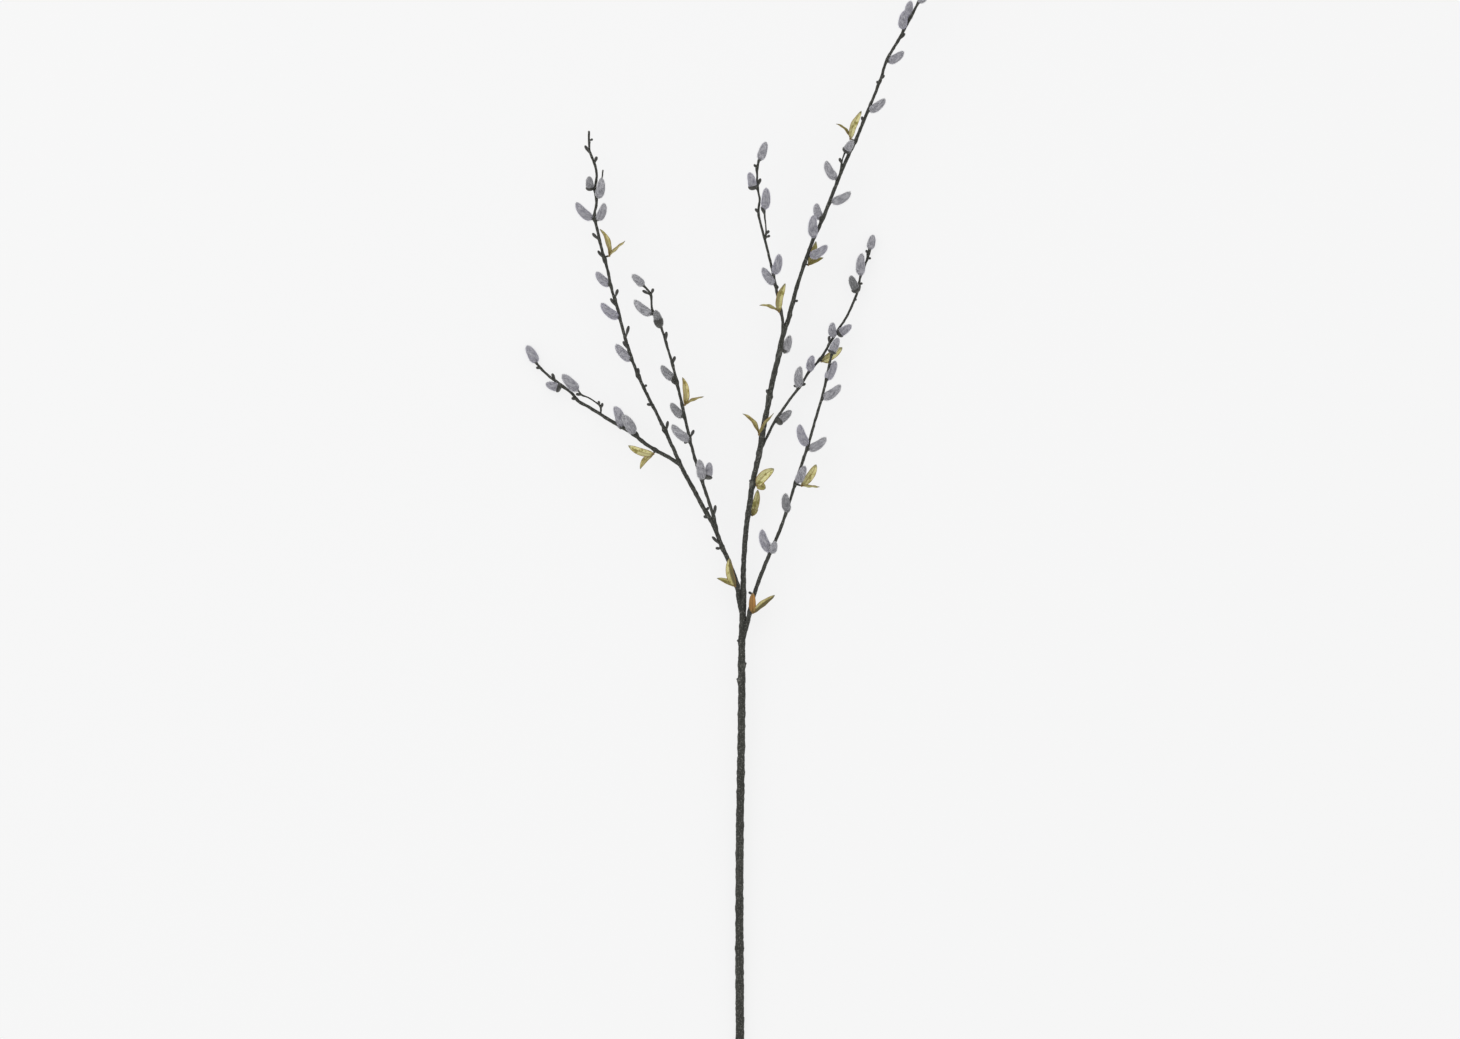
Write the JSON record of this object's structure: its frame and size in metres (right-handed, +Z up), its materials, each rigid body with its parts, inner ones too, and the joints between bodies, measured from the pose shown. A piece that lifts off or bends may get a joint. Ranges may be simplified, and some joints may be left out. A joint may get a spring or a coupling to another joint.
{
  "type": "willow twig",
  "caption": "Long cut pussy willow twig with forked sprays, furry catkins, small buds and pairs of narrow leaves, laid down.",
  "frame": {"origin": "middle of the flat under the stem on which it rests, 20 mm above the cut end", "axes": "+Y along the stem from the cut end to the tip, +Z up from the surface it lies on, +X to the side of the long upper leader"},
  "size_m": [0.4248, 1.196, 0.0677],
  "materials": {
    "bark": "matte",
    "catkin_fur": "matte",
    "leaf": "matte"
  },
  "bodies": {
    "root": {"leader_inner_spray": "bark", "leaf_pair_leader_inner_spray_1": "leaf", "leaf_pair_left_inner_spray_1": "leaf", "leaf_pair_left_leader_1": "leaf", "leaf_pair_left_leader_2": "leaf", "leaf_pair_left_low_spray_1": "leaf", "leaf_pair_main_stem_1": "leaf", "leaf_pair_main_stem_2": "leaf", "leaf_pair_main_stem_3": "leaf", "leaf_pair_main_stem_4": "leaf", "leaf_pair_main_stem_5": "leaf", "leaf_pair_right_low_spray_1": "leaf", "leaf_pair_right_low_spray_2": "leaf", "leaf_pair_right_upper_spray_1": "leaf", "left_inner_spray": "bark", "left_leader": "bark", "left_low_spray": "bark", "main_stem": "bark", "right_low_spray": "bark", "right_upper_spray": "bark"}
  },
  "joints": []
}
